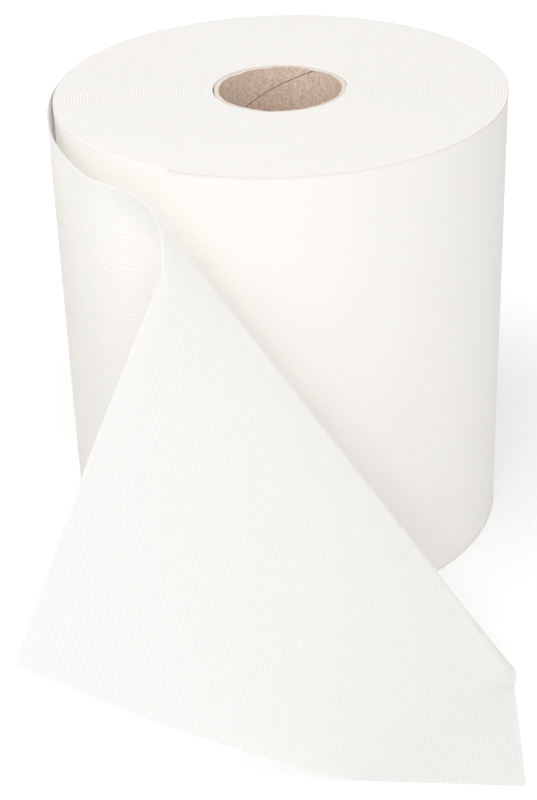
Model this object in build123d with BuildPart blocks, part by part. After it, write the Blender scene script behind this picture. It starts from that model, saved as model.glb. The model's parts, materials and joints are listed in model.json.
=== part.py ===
from build123d import *
import os
from math import acos, asin, atan2, cos, radians, sin

# A paper towel roll standing on its end, with its loose outer turn folded over in front of it.
# Millimetres and degrees. The roll's axis is Z, and it stands on Z = 0.

# The wound roll and the board tube that it is wound on
roll_diameter = 191.0
roll_height = 200.0
core_bore = 52.0
core_wall = 1.9
web_thickness = 0.6

# Fine rings that the wound turns leave on both ends of the roll
ring_pitch = 12.0
ring_width = 0.7
ring_depth = 0.35

# The loose outer turn: where it leaves the roll, and the three sweeps that it takes before it runs straight
leaving_angle = 165.0
leaving_depth = 0.9
first_sweep_radius = 140.0
first_sweep_turn = 40.0
second_sweep_radius = 130.0
second_sweep_turn = 12.0
third_sweep_radius = 10.0
third_sweep_turn = 37.5

# The slanting fold over the straight wall: it starts at the wall's top edge and comes down this far along it.
# It is a cone, wide at its top, made longer than the fold and cut off at the floor.
fold_run = 153.0
fold_top_radius = 17.5
fold_foot_radius = 5.0
fold_turn = 125.0
fold_overrun = 20.0

# The flap beyond the fold: its long edge in the air, its short edge on the floor, and the bend between.
# The bend is a cone too, of this slope, which starts a little off its tip and is cut off at the web's cut edge.
long_edge = 156.0
long_edge_angle = 65.0
short_edge = 63.5
short_edge_angle = 126.0
floor_bend_slope = 5.0
floor_bend_tip = 6.0
floor_bend_overrun = 20.0

roll_radius = roll_diameter / 2
core_radius = core_bore / 2 + core_wall
floor_level = web_thickness / 2
upwards = Vector(0, 0, 1)

os.makedirs("parts", exist_ok=True)

# The spiral-wound board tube
with BuildPart() as core_tube:
    with BuildSketch():
        Circle(core_radius)
        Circle(core_bore / 2, mode=Mode.SUBTRACT)
    extrude(amount=roll_height)

core_tube.part.label = "core_tube"
export_step(core_tube.part, "parts/core_tube.step")

# The loose turn's middle line, seen from above: it leaves the roll from a little under its surface
path_start = Vector(roll_radius - leaving_depth, 0).rotate(Axis.Z, leaving_angle)
path_heading = Vector(0, 1).rotate(Axis.Z, leaving_angle)
with BuildLine() as loose_path:
    first_sweep = JernArc(path_start, path_heading, first_sweep_radius, first_sweep_turn)
    second_sweep = JernArc(first_sweep @ 1, first_sweep % 1, second_sweep_radius, second_sweep_turn)
    third_sweep = JernArc(second_sweep @ 1, second_sweep % 1, third_sweep_radius, third_sweep_turn)
    wall_line = Line(third_sweep @ 1, third_sweep @ 1 + third_sweep % 1 * fold_run)

# The fold line on the standing wall, and the directions along it and off the wall
along_wall = wall_line % 0
off_wall = along_wall.cross(upwards)
fold_top = wall_line @ 0 + upwards * roll_height
fold_foot = wall_line @ 1
fold_length = (fold_foot - fold_top).length
down_fold = (fold_foot - fold_top).normalized()

# The fold is part of a cone that touches the wall along the fold line and has its tip there, below the floor
fold_slope = asin((fold_top_radius - fold_foot_radius) / fold_length)
fold_tip = fold_top + down_fold * (fold_top_radius / sin(fold_slope))
fold_axis = Axis(fold_tip, down_fold * cos(fold_slope) - off_wall * sin(fold_slope))
edge_angle = atan2(roll_height, fold_run)


def upper_edge(turned):
    """The point of the web's upper edge, which is straight on the flat web, at this angle round the fold."""
    slant = edge_angle + radians(turned) * sin(fold_slope)
    return fold_tip + (fold_top - fold_tip).rotate(fold_axis, turned) * (sin(edge_angle) / sin(slant))


# The flap goes on straight from the fold, and meets the floor in a line through the foot of the flap
flap_top = upper_edge(fold_turn)
down_flap = down_fold.rotate(fold_axis, fold_turn)
off_flap = off_wall.rotate(fold_axis, fold_turn) * -1
beside_flap = down_flap.cross(off_flap)
along_floor = upwards.cross(off_flap).normalized()
up_flap = off_flap.cross(along_floor)
floor_turn = acos(off_flap.Z)
flap_foot = flap_top + down_flap * ((flap_top.Z - floor_level) / -down_flap.Z)
flap_plane = Plane(flap_foot, x_dir=along_floor, z_dir=off_flap)
floor_plane = Plane(flap_foot, x_dir=along_floor, z_dir=upwards)

# The web's outline beyond the fold, drawn flat in that plane: X runs along the floor line and Y up the flap
long_edge_way = down_flap * cos(radians(long_edge_angle)) + beside_flap * sin(radians(long_edge_angle))
flat_top = flap_plane.to_local_coords(flap_top)
flat_corner = flap_plane.to_local_coords(flap_top + long_edge_way * long_edge)
flat_end = Vector(cos(radians(short_edge_angle)), -sin(radians(short_edge_angle))) * short_edge
cut_edge = flat_corner - flat_end

# The bend onto the floor lies midway between both planes, and touches each along a line from the foot of the flap
middle_way = (off_flap + upwards).normalized()
bend_rise = sin(radians(floor_bend_slope))
bend_tilt = asin(bend_rise / cos(floor_turn / 2))
floor_bend_axis = Axis(flap_foot, middle_way * sin(bend_tilt) - along_floor * cos(bend_tilt))
bend_way_on_flap = (floor_bend_axis.direction - off_flap * bend_rise).normalized()
bend_way_on_floor = (floor_bend_axis.direction - upwards * bend_rise).normalized()
bend_slope = -bend_way_on_flap.dot(up_flap) / bend_way_on_flap.dot(along_floor)


def cut_edge_at(slope):
    """Where the cut edge crosses the line through the foot of the flap that rises by this slope to the left."""
    share = -(flat_end.Y + slope * flat_end.X) / (cut_edge.Y + slope * cut_edge.X)
    return flat_end + cut_edge * share


bend_on_flap = cut_edge_at(bend_slope)
bend_on_floor = cut_edge_at(-bend_slope)


# The round fold: a tapering strip down the fold line, cut along the web's upper edge and at the floor
strip_length = fold_length + fold_overrun
with BuildPart() as round_strip:
    with BuildSketch(Plane(fold_top, x_dir=down_fold, z_dir=down_fold.cross(off_wall))):
        with Locations((strip_length / 2, 0)):
            Rectangle(strip_length, web_thickness)
    revolve(axis=fold_axis, revolution_arc=fold_turn)
    upper_edge_normal = (upper_edge(fold_turn / 2) - fold_top).cross(flap_top - fold_top)
    split(bisect_by=Plane(fold_top, z_dir=upper_edge_normal), keep=Keep.TOP)
    split(bisect_by=Plane.XY, keep=Keep.TOP)

# The flat flap, from the fold to the bend
with BuildPart() as flat_flap:
    with BuildSketch(flap_plane):
        with BuildLine():
            Polyline((0, 0), flat_top, flat_corner, bend_on_flap, close=True)
        make_face()
    extrude(amount=web_thickness / 2, both=True)

# The bend between the flap and the floor, cut off along the web's cut edge
bend_length = bend_on_flap.length - floor_bend_tip + floor_bend_overrun
bend_middle = floor_bend_tip + bend_length / 2
bend_start_spoke = bend_way_on_flap - floor_bend_axis.direction * cos(radians(floor_bend_slope))
bend_end_spoke = bend_way_on_floor - floor_bend_axis.direction * cos(radians(floor_bend_slope))
with BuildPart() as floor_bend:
    with BuildSketch(Plane(flap_foot, x_dir=bend_way_on_flap, z_dir=bend_way_on_flap.cross(off_flap))):
        with Locations((bend_middle, 0)):
            Rectangle(bend_length, web_thickness)
    revolve(axis=floor_bend_axis, revolution_arc=bend_start_spoke.get_angle(bend_end_spoke))
    cut_start = flap_plane.from_local_coords(bend_on_flap)
    cut_finish = floor_plane.from_local_coords(bend_on_floor)
    cut_normal = (cut_finish - cut_start).cross(off_flap + upwards)
    split(bisect_by=Plane(cut_start, z_dir=cut_normal), keep=Keep.BOTTOM)

# The flat end of the web, on the floor
with BuildPart() as floor_end:
    with BuildSketch(floor_plane):
        with BuildLine():
            Polyline((0, 0), bend_on_floor, flat_end, close=True)
        make_face()
    extrude(amount=web_thickness / 2, both=True)

# The web in one piece: its wound turns with their rings, its loose turn cut along the fold, and the folded tail
with BuildPart() as towel_web:
    with BuildSketch():
        Circle(roll_radius)
        trace(loose_path.line, line_width=web_thickness)
        Circle(core_radius, mode=Mode.SUBTRACT)
    extrude(amount=roll_height)
    with BuildSketch(Plane(wall_line @ 0, x_dir=along_wall, z_dir=off_wall)):
        with BuildLine():
            Polyline(
                (0, roll_height),
                (fold_run, 0),
                (fold_run + web_thickness, 0),
                (fold_run + web_thickness, roll_height),
                close=True,
            )
        make_face()
    extrude(amount=web_thickness, both=True, mode=Mode.SUBTRACT)
    with BuildSketch(Plane.XZ):
        for ring in range(1, int((roll_radius - core_radius) / ring_pitch)):
            ring_radius = core_radius + ring * ring_pitch
            for face, inward in ((0, ring_depth), (roll_height, -ring_depth)):
                with BuildLine():
                    Polyline(
                        (ring_radius - ring_width / 2, face),
                        (ring_radius, face + inward),
                        (ring_radius + ring_width / 2, face),
                        close=True,
                    )
                make_face()
    revolve(axis=Axis.Z, mode=Mode.SUBTRACT)
    add(round_strip.part)
    add(flat_flap.part)
    add(floor_bend.part)
    add(floor_end.part)

towel_web.part.label = "towel_web"
export_step(towel_web.part, "parts/towel_web.step")
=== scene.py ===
import json
from math import cos, hypot, pi, radians, sin, tan, tau

import bpy
import numpy as np
from mathutils import Matrix, Vector


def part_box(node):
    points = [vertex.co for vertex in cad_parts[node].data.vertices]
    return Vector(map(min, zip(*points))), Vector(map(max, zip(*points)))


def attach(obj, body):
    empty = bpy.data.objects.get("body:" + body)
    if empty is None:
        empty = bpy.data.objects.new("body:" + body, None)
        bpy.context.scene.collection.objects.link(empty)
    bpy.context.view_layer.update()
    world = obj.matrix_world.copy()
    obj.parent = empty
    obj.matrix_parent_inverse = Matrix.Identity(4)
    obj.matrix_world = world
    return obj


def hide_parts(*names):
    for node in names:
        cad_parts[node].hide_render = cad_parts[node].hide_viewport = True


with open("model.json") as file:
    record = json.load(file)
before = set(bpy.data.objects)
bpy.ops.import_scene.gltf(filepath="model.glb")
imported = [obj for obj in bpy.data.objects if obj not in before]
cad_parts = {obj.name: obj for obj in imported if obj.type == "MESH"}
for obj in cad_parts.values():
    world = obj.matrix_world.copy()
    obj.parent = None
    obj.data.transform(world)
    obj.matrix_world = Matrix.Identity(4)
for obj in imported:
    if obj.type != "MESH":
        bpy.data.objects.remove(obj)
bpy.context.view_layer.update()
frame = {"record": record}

# A paper towel roll standing on its end, its loose outer turn folded over in front of it.
# Shapes are worked out in millimetres in the frame's axes, and made into meshes in metres.
MM = 0.001
UP = np.array([0.0, 0.0, 1.0])

# Sizes that the frame gives
_, core_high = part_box("core_tube")
_, web_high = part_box("towel_web")
mounts = {mount["name"]: mount for mount in frame["record"]["mounts"]}
ROLL_HEIGHT = core_high.z / MM
ROLL_RADIUS = web_high.x / MM
CORE_RADIUS = core_high.x / MM
BORE_RADIUS = mounts["core_bore"]["dims"]["r_mm"]

# How finely the meshes are divided, and the angle from which an edge is sharp
ROUND_STEPS = 192
SIDE_STEPS, END_STEPS, RIM_STEPS = 42, 30, 7
CORE_STEPS = 60
WEB_ROWS = 90
WALL_STEPS, FOLD_STEPS, FLAP_STEPS = 100, 56, 110
SPIRAL_STEPS, RIDGE_SIDES = 96, 6
SHARP_FROM = radians(50)

# The wound turns: their rounded rims, the gap round the core, and the ridges of the turns on both ends
RIM_ROUND = 0.25
CORE_GAP = 0.35
TURN_PITCH = 1.3
TURN_WIDTH = 1.6
TURN_HEIGHT = 0.05

# The core's upper rim, which the cut left ragged: how far it lies under the roll's end, how far it rises and falls, how
# far it wavers as a share of its radius, and the waves in it (count, phase), which get lower as their count grows
RIM_DROP = 0.45
RIM_RISE = 0.4
RIM_WAVER = 0.006
RIM_WAVES = ((5, 0.4), (9, 2.1), (14, 4.0), (23, 1.3), (37, 5.2), (61, 3.3))
RIM_WAVE_POWER = 0.7
RIM_SHARES = (0.25, 0.5, 0.75)

# The loose turn: where it leaves the roll and the sweeps (radius, degrees) before it runs straight
LEAVING_ANGLE = 165.0
LEAVING_DEPTH = 0.1
SWEEPS = ((131.3, 20.0), (165.9, 24.3), (30.6, 46.6))
PAPER = 0.3

# The slanting fold, a cone that is wide at its top; it starts this far before the sweeps end
FOLD_LEAD = 15.9
FOLD_RUN = 157.6
FOLD_TOP_RADIUS = 22.6
FOLD_FOOT_RADIUS = 9.0
FOLD_TURN = radians(125.5)

# The fold eases into the flap: it ends up to this share of its radius behind the flap's plane, which it then nears
# over this far. The easing dies out over these shares of the web's width at its lower and upper edges.
EASE_SHARE = 0.7
EASE_REACH = 18.0
EASE_FOOT = 0.25
EASE_TOP = 0.22

# The angle round the fold at which the photograph sees its outline, which the easing leaves in place
OUTLINE_TURN = radians(65)

# The flap beyond the fold: its long edge in the air, its short edge on the floor, and the bend between, which starts
# this far off its tip at the foot of the fold and widens over this far
LONG_EDGE = 147.5
LONG_EDGE_ANGLE = radians(67.9)
SHORT_EDGE = 59.3
SHORT_EDGE_ANGLE = radians(127.0)
FLOOR_BEND_TIP = 0.5
FLOOR_BEND_RADIUS = 9.4
FLOOR_BEND_GROWTH = 15.0
FLAP_SAG = 3.0

# The web spreads a little at the foot of the fold, over this share of its width, and from this share of its width on
# the cut edge bows out
FOOT_SPREAD = 2.0
FOOT_SHARE = 0.15
CUT_BOW = 2.0
BOW_SHARE = 0.4

# The emboss: dashes in brick order that sway a little along and across the web, pressed less deep on the wound turns
DASH_LENGTH = 3.7
DASH_PITCH = 2.2
DASH_SWAY = (1.6, 0.9, 0.0)
EMBOSS_DEPTH = 0.3
WOUND_EMBOSS = 0.12
LOOSE_EMBOSS = 0.6

# The share of light that the loose sheet lets through. It starts to once a gap has opened behind it, this far along
# the web, and does so in full after this much more
LETS_THROUGH = 0.45
LEAVING_START = 14.0
LEAVING_BLEND = 38.0

# The core's spiral ply seam: how far it drops in a turn, its height at the back of the bore, which is a quarter turn
# round from X, and how far its dark line reaches to each side
SEAM_PITCH = 80.0
SEAM_HEIGHT = 191.4
SEAM_BACK = 0.25
SEAM_REACH = 0.3

# How fine the noise in each surface is, per millimetre
SWAY_SCALE = 0.22
CLOUD_SCALE = 0.03
FIBRE_SCALE = 1.6
RING_SCALE = 0.9
LINT_SCALE = 2.2
GRAIN_SCALE = 0.8
TORN_SCALE = 1.5

# Bumps: their strength, and their depth in millimetres
LINT_BUMP = (0.2, 0.05)
GRAIN_BUMP = (0.4, 0.15)
SEAM_BUMP = (0.8, 0.3)
TORN_BUMP = (0.6, 0.2)

# Finishes: roughness and specular level
PAPER_FINISH = (0.92, 0.2)
EDGE_FINISH = (0.95, 0.15)
BOARD_FINISH = (0.85, 0.25)
TORN_FINISH = (0.9, 0.2)

# Colours. A pair is the darker and the lighter tint of one surface, and the board's go over these parts of its noise.
WOUND_WHITE = ("#F4F1ED", "#F5F3EF")
# The loose sheet's lighter white is painted light: it is the same paper as the wound web, painted whiter where it is
# better lit
LOOSE_PAINTED_LIGHT_WHITE = ("#FEFDFD", "#FEFEFE")
EDGE_WHITE = ("#F6F3EF", "#F7F5F2")
THROUGH_WHITE = "#FEFDFB"
BOARD_BROWN, BOARD_PART = ("#D2B7A2", "#F8EBDF"), (0.3, 0.72)
TORN_BROWN, TORN_PART = ("#DDCCBC", "#F6EEE6"), (0.3, 0.7)
SEAM_BROWN = "#86695A"
FLOOR_WHITE = "#F8F8F8"
WHITE = "#FFFFFF"

# The studio, in metres and watts: the floor, how much it is lifted for the camera at these distances from the roll's
# axis and beyond, the dome's strength as a light and as it is seen, and the lamps (place, power)
FLOOR_REACH = 6.0
FLOOR_NEAR, LIFT_NEAR = 0.1, 0.1
FLOOR_FAR, LIFT_FAR = 0.6, 0.42
DOME_LIGHT, DOME_SEEN = 0.64, 1.0
LAMPS = {
    "high_left_lamp": ((-1.33, -0.48, 1.79), 10.2),
    "high_front_lamp": ((0.0, -1.1, 2.0), 10.2),
    "low_front_lamp": ((0.0, -2.07, 0.85), 7.8),
}
LAMP_SIZE = 1.2
LAMP_AIM = Vector((0, -0.05, 0.1))

# The camera, fitted to the photograph: its place in millimetres, its angles, and its focal length in pixels
IMAGE_HEIGHT = 800
CAMERA_PLACE = Vector((0.0, -732.3, 471.7))
CAMERA_PITCH = radians(30.04)
CAMERA_YAW = radians(-0.716)
CAMERA_ROLL = radians(-1.881)
FOCAL_PIXELS = 1829.36
SENSOR = 36.0


def linear(hex_colour):
    """An sRGB hex colour as linear red, green, blue and alpha."""
    parts = [int(hex_colour[i:i + 2], 16) / 255 for i in (1, 3, 5)]
    return [c / 12.92 if c <= 0.04045 else ((c + 0.055) / 1.055) ** 2.4 for c in parts] + [1.0]


def add_node(tree, kind, settings=None, **inputs):
    """Adds a node; settings are its properties, and each input is a value or the socket that feeds it. An input is
    named as its socket, with _ for a space, or by its number, as i0."""
    node = tree.nodes.new(kind)
    for name, value in (settings or {}).items():
        setattr(node, name, value)
    for name, value in inputs.items():
        key = int(name[1:]) if name[1:].isdigit() and name[0] == "i" else name.replace("_", " ")
        socket = node.inputs[key]
        if isinstance(value, bpy.types.NodeSocket):
            tree.links.new(value, socket)
        else:
            socket.default_value = value
    return node


def new_material(name):
    """An empty material with its output node."""
    material = bpy.data.materials.new(name)
    material.use_nodes = True
    material.node_tree.nodes.clear()
    return material, material.node_tree, material.node_tree.nodes.new("ShaderNodeOutputMaterial")


def maths(tree, operation, *values):
    """A maths node on these values or sockets; returns its result."""
    node = add_node(tree, "ShaderNodeMath", {"operation": operation}, **{f"i{i}": v for i, v in enumerate(values)})
    return node.outputs["Value"]


def smooth_rise(tree, value, start, end, low=0.0, high=1.0):
    """Goes smoothly from low to high while the value goes from start to end."""
    rise = add_node(tree, "ShaderNodeMapRange", {"interpolation_type": "SMOOTHSTEP"}, Value=value,
                    From_Min=start, From_Max=end, To_Min=low, To_Max=high)
    return rise.outputs["Result"]


def noise(tree, place, **values):
    """A noise texture's value at this place."""
    return add_node(tree, "ShaderNodeTexNoise", None, Vector=place, **values).outputs["Fac"]


def tinted(tree, value, darker, lighter, start=0.0, end=1.0):
    """A colour between two tints: the darker where the value is start or less, the lighter where it is end or more."""
    tint = add_node(tree, "ShaderNodeValToRGB", None, Fac=value)
    for element, position, colour in zip(tint.color_ramp.elements, (start, end), (darker, lighter)):
        element.position = position
        element.color = linear(colour)
    return tint.outputs["Color"]


def mixed(tree, share, first, second):
    """The first colour, with this share of the second."""
    return add_node(tree, "ShaderNodeMix", {"data_type": "RGBA"}, i0=share, i6=first, i7=second).outputs[2]


def bumped(tree, height, strength, depth, under=None):
    """A surface's normal with this height on it, over another bump's normal if that is given."""
    bump = add_node(tree, "ShaderNodeBump", None, Strength=strength, Distance=depth * MM, Height=height)
    if under is not None:
        tree.links.new(under, bump.inputs["Normal"])
    return bump.outputs["Normal"]


def matt(tree, colour, normal, roughness, specular):
    """A matt surface of this colour."""
    surface = add_node(tree, "ShaderNodeBsdfPrincipled", None, Base_Color=colour, Normal=normal, Roughness=roughness,
                       Specular_IOR_Level=specular)
    return surface.outputs["BSDF"]


def embossed(tree, flat):
    """Height of the emboss: short soft pillows in brick order along the web, a little uneven as pressed paper is."""
    sway = add_node(tree, "ShaderNodeTexNoise", None, Vector=flat, Scale=SWAY_SCALE, Detail=1.0)
    swayed = add_node(tree, "ShaderNodeVectorMath", {"operation": "MULTIPLY_ADD"}, i0=sway.outputs["Color"],
                      i1=DASH_SWAY, i2=flat)
    web = add_node(tree, "ShaderNodeSeparateXYZ", None, Vector=swayed.outputs["Vector"])
    across = maths(tree, "DIVIDE", web.outputs["Y"], DASH_PITCH)
    half_shift = maths(tree, "MULTIPLY", maths(tree, "FLOOR", across), 0.5)
    along = maths(tree, "MULTIPLY_ADD", web.outputs["X"], 1 / DASH_LENGTH, half_shift)
    over_row = maths(tree, "SINE", maths(tree, "MULTIPLY", maths(tree, "FRACT", across), pi))
    over_dash = maths(tree, "SINE", maths(tree, "MULTIPLY", maths(tree, "FRACT", along), pi))
    return maths(tree, "MULTIPLY", maths(tree, "POWER", over_row, 2.0), over_dash)


def cloudy_white(tree, flat, darker, lighter):
    """A paper's white, in faint clouds between two tints."""
    return tinted(tree, noise(tree, flat, Scale=CLOUD_SCALE, Detail=2.0), darker, lighter)


def towel_paper(name, loose):
    """Soft matt towel paper, embossed with short dashes in brick order along the web. The loose sheet starts as the
    wound web does. As it leaves the roll its emboss gets deeper, it lets light through, and its white is painted
    lighter: painted light on the same paper, where the loose sheet is better lit."""
    material, tree, output = new_material(name)
    flat = add_node(tree, "ShaderNodeAttribute", {"attribute_name": "flat_web"}).outputs["Vector"]
    colour, emboss = cloudy_white(tree, flat, *WOUND_WHITE), WOUND_EMBOSS
    if loose:
        run = add_node(tree, "ShaderNodeSeparateXYZ", None, Vector=flat).outputs["X"]
        left = smooth_rise(tree, run, LEAVING_START, LEAVING_START + LEAVING_BLEND)
        # Painted light: as it leaves the roll, the loose sheet is painted whiter than the same wound paper
        colour = mixed(tree, left, colour, cloudy_white(tree, flat, *LOOSE_PAINTED_LIGHT_WHITE))
        emboss = maths(tree, "MULTIPLY_ADD", left, LOOSE_EMBOSS - WOUND_EMBOSS, WOUND_EMBOSS)
    fibres = noise(tree, flat, Scale=FIBRE_SCALE, Detail=3.0, Roughness=0.6)
    pressed = bumped(tree, embossed(tree, flat), emboss, EMBOSS_DEPTH)
    surface = matt(tree, colour, bumped(tree, fibres, *LINT_BUMP, under=pressed), *PAPER_FINISH)
    if loose:
        # The sheet's far face lets out all the light that its near face let in
        inside = add_node(tree, "ShaderNodeNewGeometry").outputs["Backfacing"]
        share = maths(tree, "MAXIMUM", inside, maths(tree, "MULTIPLY", left, LETS_THROUGH))
        glow = add_node(tree, "ShaderNodeBsdfTranslucent", None, Color=linear(THROUGH_WHITE)).outputs["BSDF"]
        surface = add_node(tree, "ShaderNodeMixShader", None, i0=share, i1=surface, i2=glow).outputs["Shader"]
    tree.links.new(surface, output.inputs["Surface"])
    return material


def cut_turns():
    """The wound web's cut edges: hundreds of thin layers that read as one soft, smooth end with faint rings."""
    material, tree, output = new_material("cut_towel_edges")
    metres = add_node(tree, "ShaderNodeTexCoord").outputs["Object"]
    place = add_node(tree, "ShaderNodeVectorMath", {"operation": "MULTIPLY"}, i0=metres,
                     i1=(1 / MM, 1 / MM, 0.0)).outputs["Vector"]
    radius = add_node(tree, "ShaderNodeVectorMath", {"operation": "LENGTH"}, i0=place).outputs["Value"]
    rings = add_node(tree, "ShaderNodeTexNoise", {"noise_dimensions": "1D"}, W=radius, Scale=RING_SCALE,
                     Detail=3.0, Roughness=0.7).outputs["Fac"]
    lint = noise(tree, place, Scale=LINT_SCALE, Detail=2.0)
    ringed = bumped(tree, rings, *LINT_BUMP)
    paper = matt(tree, tinted(tree, rings, *EDGE_WHITE), bumped(tree, lint, *LINT_BUMP, under=ringed), *EDGE_FINISH)
    tree.links.new(paper, output.inputs["Surface"])
    return material


def core_board():
    """Grey-brown recycled board, spiral wound: speckled with light fibres, and dark where two plies meet."""
    material, tree, output = new_material("spiral_wound_core_board")
    place = add_node(tree, "ShaderNodeTexCoord").outputs["Object"]
    metres = add_node(tree, "ShaderNodeSeparateXYZ", None, Vector=place).outputs
    angle = maths(tree, "ARCTAN2", metres["Y"], metres["X"])
    # Height above the seam's helix, in turns of the seam: it is a whole number on the seam
    height = maths(tree, "MULTIPLY_ADD", metres["Z"], 1 / (SEAM_PITCH * MM), -SEAM_HEIGHT / SEAM_PITCH - SEAM_BACK)
    turns = maths(tree, "MULTIPLY_ADD", angle, 1 / tau, height)
    off_seam = smooth_rise(tree, maths(tree, "PINGPONG", turns, 0.5), 0.0, SEAM_REACH / SEAM_PITCH)
    grain = noise(tree, place, Scale=GRAIN_SCALE / MM, Detail=3.0, Roughness=0.65)
    speckled = tinted(tree, grain, *BOARD_BROWN, *BOARD_PART)
    rough = bumped(tree, grain, *GRAIN_BUMP)
    board = matt(tree, mixed(tree, off_seam, linear(SEAM_BROWN), speckled),
                 bumped(tree, off_seam, *SEAM_BUMP, under=rough), *BOARD_FINISH)
    tree.links.new(board, output.inputs["Surface"])
    return material


def core_rim():
    """The board's cut end: pale torn fibres."""
    material, tree, output = new_material("cut_core_rim")
    place = add_node(tree, "ShaderNodeTexCoord").outputs["Object"]
    torn = noise(tree, place, Scale=TORN_SCALE / MM, Detail=3.0, Roughness=0.7)
    board = matt(tree, tinted(tree, torn, *TORN_BROWN, *TORN_PART), bumped(tree, torn, *TORN_BUMP), *TORN_FINISH)
    tree.links.new(board, output.inputs["Surface"])
    return material


def seen_plainly(tree):
    """One for rays that show a thing to the camera, straight or by a mirror or glass, and nought for other light."""
    ray = add_node(tree, "ShaderNodeLightPath").outputs
    through = maths(tree, "SUBTRACT", ray["Is Transmission Ray"], ray["Is Diffuse Ray"])
    return maths(tree, "MAXIMUM", maths(tree, "MAXIMUM", ray["Is Camera Ray"], ray["Is Glossy Ray"]), through)


def white_floor():
    """A white studio floor: matt white, lifted for the camera alone so that it reads as paper white. The lift is
    small near the roll, where the floor keeps the roll's shadow, and larger far off, where the lamps don't reach."""
    material, tree, output = new_material("white_studio_floor")
    paint = add_node(tree, "ShaderNodeBsdfDiffuse", None, Color=linear(FLOOR_WHITE))
    place = add_node(tree, "ShaderNodeTexCoord").outputs["Object"]
    away = add_node(tree, "ShaderNodeVectorMath", {"operation": "LENGTH"}, i0=place).outputs["Value"]
    lifted = smooth_rise(tree, away, FLOOR_NEAR, FLOOR_FAR, LIFT_NEAR, LIFT_FAR)
    lift = add_node(tree, "ShaderNodeEmission", None, Color=linear(WHITE),
                    Strength=maths(tree, "MULTIPLY", seen_plainly(tree), lifted))
    both = add_node(tree, "ShaderNodeAddShader", None, i0=paint.outputs["BSDF"], i1=lift.outputs["Emission"])
    tree.links.new(both.outputs["Shader"], output.inputs["Surface"])
    return material


def mesh_piece(name, points, faces, material, flat=None):
    """A smooth-shaded mesh piece from points in millimetres; flat gives each face corner its place on the web."""
    mesh = bpy.data.meshes.new(name)
    mesh.from_pydata((np.asarray(points) * MM).tolist(), [], [list(map(int, face)) for face in faces])
    mesh.materials.append(material)
    mesh.shade_smooth()
    mesh.set_sharp_from_angle(angle=SHARP_FROM)
    if flat is not None:
        corners = mesh.attributes.new("flat_web", "FLOAT_VECTOR", "CORNER")
        corners.data.foreach_set("vector", np.asarray(flat, np.float32).ravel())
    mesh.validate()
    piece = bpy.data.objects.new(name, mesh)
    bpy.context.scene.collection.objects.link(piece)
    return piece


def loose_path(run):
    """Plan point of the loose turn's middle line, this far along the web from where it leaves the roll."""
    left = np.array(run, float)
    start = ROLL_RADIUS - LEAVING_DEPTH
    x = np.full(left.shape, start * cos(radians(LEAVING_ANGLE)))
    y = np.full(left.shape, start * sin(radians(LEAVING_ANGLE)))
    heading = np.full(left.shape, radians(LEAVING_ANGLE + 90))
    for radius, turn in SWEEPS:
        swept = np.minimum(left / radius, radians(turn))
        x += radius * (np.sin(heading + swept) - np.sin(heading))
        y += radius * (np.cos(heading) - np.cos(heading + swept))
        heading = heading + swept
        left = left - radius * swept
    return np.stack([x + left * np.cos(heading), y + left * np.sin(heading), np.zeros_like(x)], axis=-1)


def unit(vector):
    """The vector at a length of one."""
    return vector / np.linalg.norm(vector)


# The straight wall that the loose turn runs into, and the fold line on it
SWEEPS_RUN = sum(radius * radians(turn) for radius, turn in SWEEPS)
WALL_HEADING = radians(LEAVING_ANGLE + 90 + sum(turn for _, turn in SWEEPS))
WALL_START = loose_path(SWEEPS_RUN)
ALONG_WALL = np.array([cos(WALL_HEADING), sin(WALL_HEADING), 0.0])
OFF_WALL = np.cross(ALONG_WALL, UP)
FOLD_START_RUN = SWEEPS_RUN - FOLD_LEAD
FOLD_TOP = WALL_START - ALONG_WALL * FOLD_LEAD + UP * ROLL_HEIGHT
FOLD_FOOT = WALL_START + ALONG_WALL * (FOLD_RUN - FOLD_LEAD)
FOLD_LENGTH = hypot(FOLD_RUN, ROLL_HEIGHT)
DOWN_FOLD = unit(FOLD_FOOT - FOLD_TOP)
ACROSS_FOLD = np.cross(OFF_WALL, DOWN_FOLD)
FOLD_TAPER = (FOLD_TOP_RADIUS - FOLD_FOOT_RADIUS) / FOLD_LENGTH
FLOOR_LEVEL = PAPER / 2


def plain_fold_end(advance):
    """Where the plain round fold, without its easing, ends at this distance down it."""
    radius = FOLD_TOP_RADIUS - FOLD_TAPER * advance
    rolled = ACROSS_FOLD * sin(FOLD_TURN) + OFF_WALL * (1 - cos(FOLD_TURN))
    return FOLD_TOP + DOWN_FOLD * advance + rolled * radius


# The web's upper edge crosses the fold at a slant, and its lower edge comes round it to the floor
EDGE_SLANT = FOLD_TURN * FOLD_RUN / ROLL_HEIGHT
TOP_ADVANCE = FOLD_TOP_RADIUS * EDGE_SLANT / (1 + FOLD_TAPER * EDGE_SLANT / 2)
FLAP_TOP = plain_fold_end(TOP_ADVANCE)
DOWN_FLAP = unit(plain_fold_end(FOLD_LENGTH) - FLAP_TOP)
FLAP_FOOT = FLAP_TOP + DOWN_FLAP * ((FLAP_TOP[2] - FLOOR_LEVEL) / -DOWN_FLAP[2])
FOLD_END_WAY = ACROSS_FOLD * cos(FOLD_TURN) + OFF_WALL * sin(FOLD_TURN)
OFF_FLAP = unit(np.cross(FOLD_END_WAY, DOWN_FLAP))
BESIDE_FLAP = np.cross(DOWN_FLAP, OFF_FLAP)
ALONG_FLOOR = unit(np.cross(UP, OFF_FLAP))
UP_FLAP = np.cross(OFF_FLAP, ALONG_FLOOR)
BACK_FLOOR = np.cross(UP, ALONG_FLOOR)
FLOOR_TURN = float(np.arccos(OFF_FLAP[2]))


def on_flap_plane(point):
    """A point of the flap's plane, from the foot of the flap: along the floor line, and up the flap."""
    return np.array([(point - FLAP_FOOT) @ ALONG_FLOOR, (point - FLAP_FOOT) @ UP_FLAP])


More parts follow.
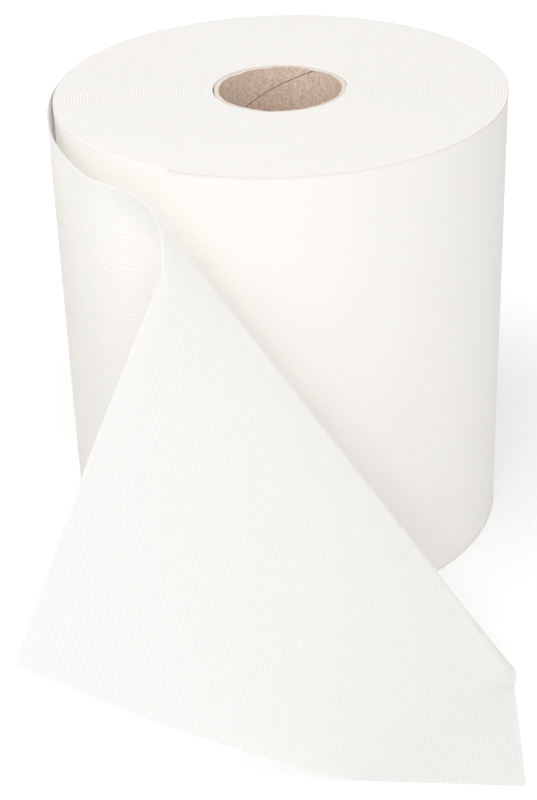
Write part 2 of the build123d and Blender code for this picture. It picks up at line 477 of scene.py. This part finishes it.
# The web's outline beyond the fold, on the flap's plane
LONG_EDGE_WAY = DOWN_FLAP * cos(LONG_EDGE_ANGLE) + BESIDE_FLAP * sin(LONG_EDGE_ANGLE)
LONG_WAY_FLAT = np.array([LONG_EDGE_WAY @ ALONG_FLOOR, LONG_EDGE_WAY @ UP_FLAP])
FLAT_TOP = on_flap_plane(FLAP_TOP)
FLAT_CORNER = on_flap_plane(FLAP_TOP + LONG_EDGE_WAY * LONG_EDGE)
FLAT_END = np.array([cos(SHORT_EDGE_ANGLE), -sin(SHORT_EDGE_ANGLE)]) * SHORT_EDGE
CUT_EDGE = FLAT_CORNER - FLAT_END
CUT_OUT = unit(np.array([-CUT_EDGE[1], CUT_EDGE[0]]))


def easing(share):
    """How far behind the flap's plane the fold ends, as a share of its radius."""
    rise = np.clip(np.minimum(share / EASE_FOOT, (1 - share) / EASE_TOP), 0, 1)
    return EASE_SHARE * rise ** 2 * (3 - 2 * rise)


def fold_section(radius, ease):
    """The fold's section where its plain round would have this radius: the straight run on the wall before the bend,
    the bend's radius, its turn, and how far before the plain round's end it ends."""
    softened = ease * radius / EASE_REACH
    held = tan(OUTLINE_TURN / 2)
    plain = -cos(FOLD_TURN) - held * sin(FOLD_TURN)
    bend = radius * (1 + plain - ease) / (np.cos(softened) + plain)
    straight = (radius - bend) * held
    short_by = radius * sin(FOLD_TURN) - straight * cos(FOLD_TURN) - bend * (sin(FOLD_TURN) - np.sin(softened))
    return straight, bend, FOLD_TURN - softened, short_by


def fold_end(share):
    """Where the fold ends at this share of the web's width from its lower edge: its place on the flap's plane, how
    far behind that plane it lies, and how far before the plain round's end."""
    radius = FOLD_TOP_RADIUS - FOLD_TAPER * (FOLD_LENGTH * (1 - share) + TOP_ADVANCE * share)
    short_by = fold_section(radius, easing(share))[3]
    place = FLAT_TOP * share[..., None] - LONG_WAY_FLAT * (short_by / sin(LONG_EDGE_ANGLE))[..., None]
    place[..., 0] += FOOT_SPREAD * np.clip(1 - share / FOOT_SHARE, 0, 1) ** 2
    return place, easing(share) * radius, short_by


def fold_points(share, along):
    """Points of the web round the fold; along goes from the wall to the flap."""
    place = fold_end(share)[0]
    end = FLAP_FOOT + ALONG_FLOOR * place[..., :1] + UP_FLAP * place[..., 1:]
    start = FOLD_LENGTH * (1 - share)
    advance = start + ((end - FOLD_TOP) @ DOWN_FOLD - start) * along
    straight, bend, turn, _ = fold_section(FOLD_TOP_RADIUS - FOLD_TAPER * advance, easing(share))
    gone = (straight + bend * turn) * along
    turned = np.maximum(gone - straight, 0) / bend
    across = np.minimum(gone, straight) + bend * np.sin(turned)
    off = bend * (1 - np.cos(turned))
    # Where the wall under the fold still curves, the web that lies on the fold has the same bow
    run = FOLD_START_RUN + FOLD_RUN * (1 - share) + gone * FOLD_LENGTH / ROLL_HEIGHT
    bow = loose_path(run) - (WALL_START + ALONG_WALL * (run - SWEEPS_RUN)[..., None])
    on_line = FOLD_TOP + DOWN_FOLD * advance[..., None]
    return on_line + ACROSS_FOLD * across[..., None] + OFF_WALL * off[..., None] + bow


def flap_points(share, along):
    """Points of the web beyond the fold: flat, then bent down onto the floor. Along goes from the fold to the cut
    edge."""
    near, behind_fold, short_by = fold_end(share)
    bow = CUT_BOW * np.sin(pi * np.clip((share - BOW_SHARE) / (1 - BOW_SHARE), 0, 1))
    far = FLAT_END + CUT_EDGE * share[..., None] + CUT_OUT * bow[..., None]
    flat = near + (far - near) * along[..., None]
    aside, up = flat[..., 0], flat[..., 1]
    foot = FLAP_FOOT + ALONG_FLOOR * aside[..., None]
    # The bend: its radius, how far it reaches up the flap and out on the floor, and its points
    radius = FLOOR_BEND_RADIUS * (1 - np.exp(np.minimum(aside, -FLOOR_BEND_TIP) / FLOOR_BEND_GROWTH))
    half = radius * tan(FLOOR_TURN / 2)
    bent = (FLOOR_TURN * np.clip((half - up) / (2 * half), 0, 1))[..., None]
    centre = foot + UP_FLAP * half[..., None] + OFF_FLAP * radius[..., None]
    bend = centre - (OFF_FLAP * np.cos(bent) + UP_FLAP * np.sin(bent)) * radius[..., None]
    # The flap above it lies behind its plane where the fold eases into it and where it sags
    off_fold = short_by - (aside * FLAT_TOP[1] - up * FLAT_TOP[0]) / np.hypot(*FLAT_TOP)
    eased = behind_fold * np.exp(-np.maximum(off_fold, 0) / EASE_REACH)
    sag = FLAP_SAG * share * 4 * along * (1 - along)
    behind = (eased + sag) * np.clip((up - half) / FLOOR_BEND_RADIUS, 0, 1)
    standing = foot + UP_FLAP * up[..., None] - OFF_FLAP * behind[..., None]
    lying = foot + BACK_FLOOR * up[..., None]
    return np.where((up >= half)[..., None], standing, np.where((up <= -half)[..., None], lying, bend))


def loose_tail(material):
    """The loose turn with its fold and flap: one grid over the flat web, given the paper's thickness. Returns the
    piece, and how far along the web each point of the grid is."""
    shares = np.linspace(0, 1, WEB_ROWS)[:, None]
    on_wall = np.linspace(0, 1, WALL_STEPS)[None, :-1]
    round_it = np.linspace(0, 1, FOLD_STEPS)[None]
    beyond = np.linspace(0, 1, FLAP_STEPS)[None]
    run = (FOLD_START_RUN + FOLD_RUN * (1 - shares)) * on_wall
    wall = loose_path(run) + UP * (ROLL_HEIGHT * shares * np.ones_like(run))[..., None]
    fold = fold_points(shares * np.ones_like(round_it), round_it * np.ones_like(shares))
    flap = flap_points(shares * np.ones_like(beyond), beyond * np.ones_like(shares))
    # The fold's end is drawn to the flap's start, which it meets but for the taper and the spread at its foot
    fold += (flap[:, :1] - fold[:, -1:]) * (round_it ** 2)[..., None]
    grid = np.concatenate([wall, fold[:, :-1], flap], axis=1)
    steps = np.linalg.norm(np.diff(grid, axis=1), axis=2)
    runs = np.concatenate([np.zeros((len(shares), 1)), np.cumsum(steps, axis=1)], axis=1)
    web = np.stack([runs, ROLL_HEIGHT * shares * np.ones_like(runs), np.zeros_like(runs)], axis=-1)
    normals = np.cross(np.gradient(grid, axis=1), np.gradient(grid, axis=0))
    normals /= np.linalg.norm(normals, axis=2, keepdims=True)
    sides = [grid + normals * PAPER / 2, grid - normals * PAPER / 2]
    points = np.concatenate([side.reshape(-1, 3) for side in sides])
    points[:, 2] = np.maximum(points[:, 2], 0)
    index = np.arange(runs.size).reshape(runs.shape)
    quads = np.stack([index[:-1, :-1], index[:-1, 1:], index[1:, 1:], index[1:, :-1]], axis=-1).reshape(-1, 4)
    under = index.size
    edge = np.concatenate([index[0, :-1], index[:-1, -1], index[-1, :0:-1], index[:0:-1, 0]])
    after = np.roll(edge, -1)
    rim = np.stack([after, edge, edge + under, after + under], axis=-1)
    faces = np.concatenate([quads, quads[:, ::-1] + under, rim])
    flat = np.concatenate([web.reshape(-1, 3)] * 2)[faces]
    return mesh_piece("loose_tail", points, faces, material, flat), runs


def lathe(profile, steps):
    """Points and faces of a closed profile of (radius, height) turned round the roll's axis."""
    angles = np.arange(steps) * tau / steps
    profile = np.asarray(profile, float)
    points = np.stack([np.outer(np.cos(angles), profile[:, 0]), np.outer(np.sin(angles), profile[:, 0]),
                       np.broadcast_to(profile[:, 1], (steps, len(profile)))], axis=-1)
    index = np.arange(steps * len(profile)).reshape(steps, -1)
    ahead, beside = np.roll(index, -1, axis=0), np.roll(index, -1, axis=1)
    faces = np.stack([index, ahead, np.roll(ahead, -1, axis=1), beside], axis=-1).reshape(-1, 4)
    return points, faces


def rim_arc(radius, height, start):
    """A rim's rounding: a quarter turn of (radius, height) points about this centre."""
    turns = radians(start) + np.linspace(0, pi / 2, RIM_STEPS)
    return [(radius + RIM_ROUND * cos(turn), height + RIM_ROUND * sin(turn)) for turn in turns]


def wound_turns(paper, edges):
    """The wound web: an embossed outer turn with soft rims, and two ends of cut edges."""
    inner, outer = CORE_RADIUS + CORE_GAP, ROLL_RADIUS
    sides = [(outer, height) for height in np.linspace(RIM_ROUND, ROLL_HEIGHT - RIM_ROUND, SIDE_STEPS)]
    ends = np.linspace(outer - RIM_ROUND, inner + RIM_ROUND, END_STEPS)
    profile = sides[:-1] + rim_arc(outer - RIM_ROUND, ROLL_HEIGHT - RIM_ROUND, 0)[:-1]
    profile += [(radius, ROLL_HEIGHT) for radius in ends[:-1]]
    profile += rim_arc(inner + RIM_ROUND, ROLL_HEIGHT - RIM_ROUND, 90)
    profile += rim_arc(inner + RIM_ROUND, RIM_ROUND, 180)
    profile += [(radius, 0.0) for radius in ends[::-1][1:-1]]
    profile += rim_arc(outer - RIM_ROUND, RIM_ROUND, 270)[:-1]
    points, faces = lathe(profile, ROUND_STEPS)
    places = points.reshape(-1, 3)
    corners = places[faces]
    # A whole number of dashes goes round the roll, so that the emboss meets itself
    angles = np.arctan2(corners[..., 1], corners[..., 0])
    angles = np.where(angles - angles.min(axis=1, keepdims=True) > pi, angles - tau, angles)
    dashes_round = round(tau * ROLL_RADIUS / DASH_LENGTH)
    runs = angles / tau * dashes_round * DASH_LENGTH
    flat = np.stack([runs, corners[..., 2], np.zeros_like(runs)], axis=-1)
    piece = mesh_piece("wound_turns", places, faces, paper, flat)
    piece.data.materials.append(edges)
    radii = np.linalg.norm(corners[..., :2], axis=2)
    on_end = (radii.max(axis=1) - radii.min(axis=1) > RIM_ROUND / 8) | (radii.max(axis=1) < outer - RIM_ROUND)
    piece.data.polygons.foreach_set("material_index", on_end.astype(np.int32))
    return piece


def core(board, cut):
    """The board tube: a plain bore and outside, with an upper rim that the cut left ragged."""
    heights = np.linspace(0, ROLL_HEIGHT, CORE_STEPS)
    wall = CORE_RADIUS - BORE_RADIUS
    rim = [BORE_RADIUS + wall * share for share in RIM_SHARES]
    profile = [(CORE_RADIUS, height) for height in heights] + [(radius, ROLL_HEIGHT) for radius in rim[::-1]]
    profile += [(BORE_RADIUS, height) for height in heights[::-1]] + [(radius, 0.0) for radius in rim]
    points, faces = lathe(profile, ROUND_STEPS)
    angles = np.arange(ROUND_STEPS) * tau / ROUND_STEPS
    waves = sum(np.sin(count * angles + phase) / count ** RIM_WAVE_POWER for count, phase in RIM_WAVES)
    ragged = waves / np.abs(waves).max()
    top = np.isclose(points[..., 2], ROLL_HEIGHT)
    points[..., 2] -= np.where(top, RIM_DROP - RIM_RISE * ragged[:, None], 0.0)
    points[..., :2] *= np.where(top, 1 + RIM_WAVER * ragged[:, None], 1.0)[..., None]
    piece = mesh_piece("core_board_tube", points.reshape(-1, 3), faces, board)
    piece.data.materials.append(cut)
    on_rim = top.reshape(-1)[faces].all(axis=1)
    piece.data.polygons.foreach_set("material_index", on_rim.astype(np.int32))
    return piece


def turn_edges(material):
    """The turns that stand a little proud of both wound ends: a spiral of low rounded ridges, drawn coarser than
    the real web's turns, which are too fine to show."""
    tree = bpy.data.node_groups.new("wound_end_turns", "GeometryNodeTree")
    sizes = {"Inner Radius": CORE_RADIUS + CORE_GAP + RIM_ROUND, "Outer Radius": ROLL_RADIUS - RIM_ROUND,
             "Turn Pitch": TURN_PITCH, "Turn Width": TURN_WIDTH, "Turn Height": TURN_HEIGHT,
             "Roll Height": ROLL_HEIGHT}
    for name in sizes:
        tree.interface.new_socket(name, in_out="INPUT", socket_type="NodeSocketFloat")
    tree.interface.new_socket("Geometry", in_out="OUTPUT", socket_type="NodeSocketGeometry")
    given = add_node(tree, "NodeGroupInput").outputs
    span = maths(tree, "SUBTRACT", given["Outer Radius"], given["Inner Radius"])
    spiral = add_node(tree, "GeometryNodeCurveSpiral", None, Resolution=SPIRAL_STEPS,
                      Rotations=maths(tree, "DIVIDE", span, given["Turn Pitch"]),
                      Start_Radius=given["Inner Radius"], End_Radius=given["Outer Radius"], Height=0.0)
    # The ridge's section is a circle of diameter one, scaled to the ridge's size
    circle = add_node(tree, "GeometryNodeCurvePrimitiveCircle", {"mode": "RADIUS"}, Resolution=RIDGE_SIDES,
                      Radius=0.5)
    section = add_node(tree, "ShaderNodeCombineXYZ", None, X=given["Turn Width"], Y=given["Turn Height"], Z=1.0)
    ridge = add_node(tree, "GeometryNodeTransform", None, Geometry=circle.outputs["Curve"],
                     Scale=section.outputs["Vector"])
    lower = add_node(tree, "GeometryNodeCurveToMesh", None, Curve=spiral.outputs["Curve"],
                     Profile_Curve=ridge.outputs["Geometry"]).outputs["Mesh"]
    raised = add_node(tree, "ShaderNodeCombineXYZ", None, Z=given["Roll Height"])
    upper = add_node(tree, "GeometryNodeTransform", None, Geometry=lower, Translation=raised.outputs["Vector"])
    both = add_node(tree, "GeometryNodeJoinGeometry", None, Geometry=upper.outputs["Geometry"])
    tree.links.new(lower, both.inputs["Geometry"])
    realized = add_node(tree, "GeometryNodeRealizeInstances", None, Geometry=both.outputs["Geometry"])
    smooth = add_node(tree, "GeometryNodeSetShadeSmooth", None, Geometry=realized.outputs["Geometry"])
    finished = add_node(tree, "GeometryNodeSetMaterial", None, Geometry=smooth.outputs["Geometry"], Material=material)
    add_node(tree, "NodeGroupOutput", None, Geometry=finished.outputs["Geometry"])
    holder = bpy.data.objects.new("turn_edges_holder", bpy.data.meshes.new("turn_edges_holder"))
    bpy.context.scene.collection.objects.link(holder)
    modifier = holder.modifiers.new("turns", "NODES")
    modifier.node_group = tree
    for item in tree.interface.items_tree:
        if item.in_out == "INPUT":
            modifier[item.identifier] = sizes[item.name] * MM
    evaluated = holder.evaluated_get(bpy.context.evaluated_depsgraph_get())
    mesh = bpy.data.meshes.new_from_object(evaluated)
    mesh.name = "turn_edges"
    bpy.data.objects.remove(holder)
    piece = bpy.data.objects.new("turn_edges", mesh)
    bpy.context.scene.collection.objects.link(piece)
    return piece


def studio():
    """A white floor, a soft dome of light, and three large soft lamps in front and on the left."""
    floor = bpy.data.objects.new("studio_floor", bpy.data.meshes.new("studio_floor"))
    corners = [(x * FLOOR_REACH, y * FLOOR_REACH, 0) for x, y in ((-1, -1), (1, -1), (1, 1), (-1, 1))]
    floor.data.from_pydata(corners, [], [(0, 1, 2, 3)])
    floor.data.materials.append(white_floor())
    bpy.context.scene.collection.objects.link(floor)
    world = bpy.data.worlds.new("studio_dome")
    bpy.context.scene.world = world
    world.use_nodes = True
    tree = world.node_tree
    tree.nodes.clear()
    strength = add_node(tree, "ShaderNodeMapRange", None, Value=seen_plainly(tree),
                        To_Min=DOME_LIGHT, To_Max=DOME_SEEN)
    dome = add_node(tree, "ShaderNodeBackground", None, Color=linear(WHITE), Strength=strength.outputs["Result"])
    add_node(tree, "ShaderNodeOutputWorld", None, Surface=dome.outputs["Background"])
    for name, (place, power) in LAMPS.items():
        lamp = bpy.data.lights.new(name, "AREA")
        lamp.size = LAMP_SIZE
        lamp.energy = power
        holder = bpy.data.objects.new(name, lamp)
        holder.location = place
        holder.rotation_euler = (LAMP_AIM - Vector(place)).to_track_quat("-Z", "Y").to_euler()
        bpy.context.scene.collection.objects.link(holder)


def photo_camera():
    """The camera at the photograph's place and angle."""
    reach = cos(CAMERA_PITCH)
    forward = Vector((sin(CAMERA_YAW) * reach, cos(CAMERA_YAW) * reach, -sin(CAMERA_PITCH)))
    level = Vector((cos(CAMERA_YAW), -sin(CAMERA_YAW), 0))
    upright = level.cross(forward)
    right = level * cos(CAMERA_ROLL) + upright * sin(CAMERA_ROLL)
    up = upright * cos(CAMERA_ROLL) - level * sin(CAMERA_ROLL)
    data = bpy.data.cameras.new("photo_camera")
    data.sensor_width = SENSOR
    data.lens = FOCAL_PIXELS / IMAGE_HEIGHT * SENSOR
    camera = bpy.data.objects.new("photo_camera", data)
    turned = Matrix((right, up, -forward)).transposed().to_4x4()
    camera.matrix_world = Matrix.Translation(CAMERA_PLACE * MM) @ turned
    bpy.context.scene.collection.objects.link(camera)
    bpy.context.scene.camera = camera


wound_paper = towel_paper("wound_towel_paper", loose=False)
loose_paper = towel_paper("loose_towel_paper", loose=True)
edges = cut_turns()
board = core_board()
tail, tail_runs = loose_tail(loose_paper)
roll = wound_turns(wound_paper, edges)
ridges = turn_edges(edges)
tube = core(board, core_rim())
for piece, node, slot in ((tail, "towel_web", "towel_paper"), (roll, "towel_web", "towel_paper"),
                          (ridges, "towel_web", "towel_paper"), (tube, "core_tube", "core_board")):
    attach(piece, "root")
    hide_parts(node)

studio()
photo_camera()
bpy.context.scene.view_settings.view_transform = "Standard"
